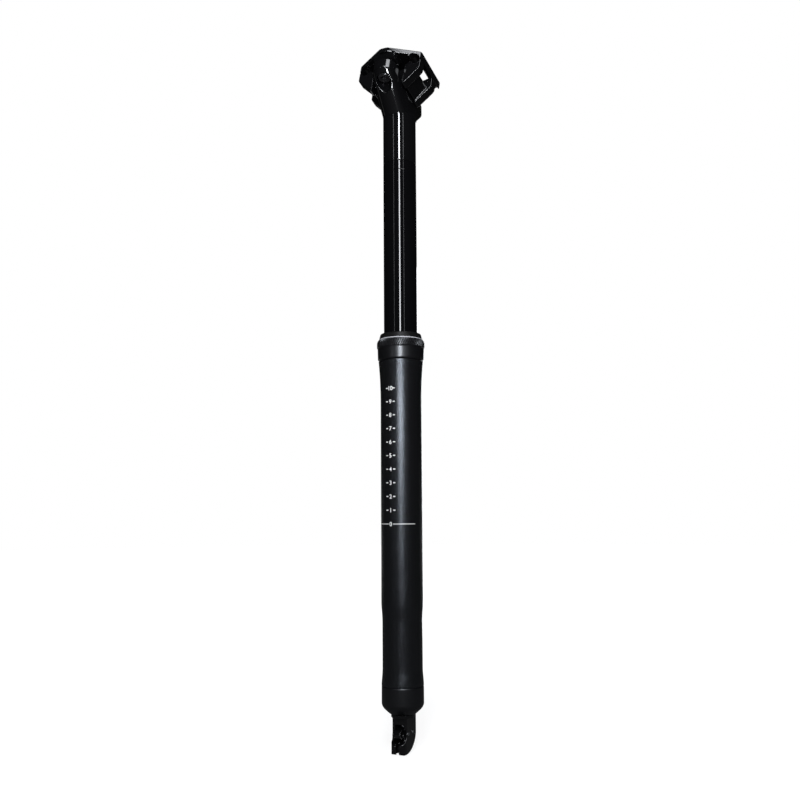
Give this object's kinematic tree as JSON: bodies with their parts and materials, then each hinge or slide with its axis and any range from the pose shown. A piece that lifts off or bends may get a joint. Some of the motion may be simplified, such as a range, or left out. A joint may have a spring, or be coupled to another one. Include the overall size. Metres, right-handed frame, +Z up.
{
  "type": "dropper seatpost",
  "caption": "Telescopic bicycle seatpost with a two-bolt saddle rail clamp, a gas-sprung sliding tube and a cable-worked release lever at its foot.",
  "frame": {"origin": "on the post's axis at the zero of the insertion scale on the shank", "axes": "+Z up the post, +X to the front of the bicycle, +Y to its left"},
  "size_m": [0.0625, 0.0536, 0.5251],
  "materials": {
    "black_anodised": "satin",
    "gloss_black": "gloss",
    "rubber": "matte",
    "foam": "matte",
    "bush": "matte",
    "steel": "satin",
    "black_steel": "satin",
    "bare_aluminium": "satin",
    "brass": "satin"
  },
  "bodies": {
    "lower_post": {"outer_tube": "black_anodised", "seal_collar": "black_anodised", "wiper_seal": "rubber", "foam_ring": "foam", "upper_bushing": "bush", "travel_spacer": "bare_aluminium", "bottom_cap": "black_anodised", "cap_seal_ring": "rubber", "bottom_bumper": "rubber", "piston_rod": "steel", "piston": "bare_aluminium", "piston_ring": "rubber", "actuator_bracket": "gloss_black", "lever_pivot_pin": "steel", "lever_stop_pin": "steel"},
    "upper_post": {"stanchion_tube": "gloss_black", "post_head": "gloss_black", "guide_bush": "bush", "guide_keys": "brass", "top_bumper": "rubber", "cylinder_retainer": "bare_aluminium", "gas_cylinder": "bare_aluminium", "rod_guide": "bare_aluminium", "rod_seal": "rubber", "cylinder_plug": "bare_aluminium", "rear_bolt": "black_steel", "rear_washer": "steel"},
    "saddle_clamp": {"lower_cradle": "gloss_black", "upper_clamp": "gloss_black"},
    "rear_nut": {"rear_barrel_nut": "black_steel"},
    "front_nut": {"front_barrel_nut": "black_steel"},
    "front_screw": {"front_bolt": "black_steel", "front_washer": "steel"},
    "lever": {"actuator_lever": "gloss_black"},
    "release": {"release_pin": "steel"}
  },
  "joints": [
    {"name": "post_travel", "type": "slide", "parent": "lower_post", "child": "upper_post", "axis": [0, 0, 1], "range_m": [-0.17, 0], "stiffness_N_per_m": 150, "springref_m": 1},
    {"name": "saddle_tilt", "type": "hinge", "parent": "upper_post", "child": "saddle_clamp", "pos_m": [0, 0, 0.3504], "axis": [0, 1, 0], "range_deg": [-5, 5]},
    {"name": "rear_nut_turn", "type": "hinge", "parent": "saddle_clamp", "child": "rear_nut", "pos_m": [-0.0196, 0, 0.35639], "axis": [0, 1, 0], "range_deg": [-7, 7]},
    {"name": "front_nut_turn", "type": "hinge", "parent": "saddle_clamp", "child": "front_nut", "pos_m": [0.0196, 0, 0.34441], "axis": [0, 1, 0], "range_deg": [-8, 8]},
    {"name": "front_bolt_lean", "type": "hinge", "parent": "upper_post", "child": "front_screw", "pos_m": [0.0196, 0, 0.31836], "axis": [0, 1, 0], "range_deg": [-2, 2]},
    {"name": "lever_pull", "type": "hinge", "parent": "lower_post", "child": "lever", "pos_m": [-0.0032, 0, -0.1495], "axis": [0, -1, 0], "range_deg": [0, 28.1]},
    {"name": "release_lift", "type": "slide", "parent": "lower_post", "child": "release", "axis": [0, 0, 1], "range_m": [0, 0.00138], "stiffness_N_per_m": 1500, "springref_m": -0.002}
  ],
  "couplings": [
    {"joint": "rear_nut_turn", "follows": "saddle_tilt", "ratio": -1},
    {"joint": "front_nut_turn", "follows": "saddle_tilt", "ratio": -1.2301},
    {"joint": "front_bolt_lean", "follows": "saddle_tilt", "ratio": -0.23008},
    {"joint": "lever_pull", "follows": "release_lift", "rad_per_m": 352.85}
  ]
}
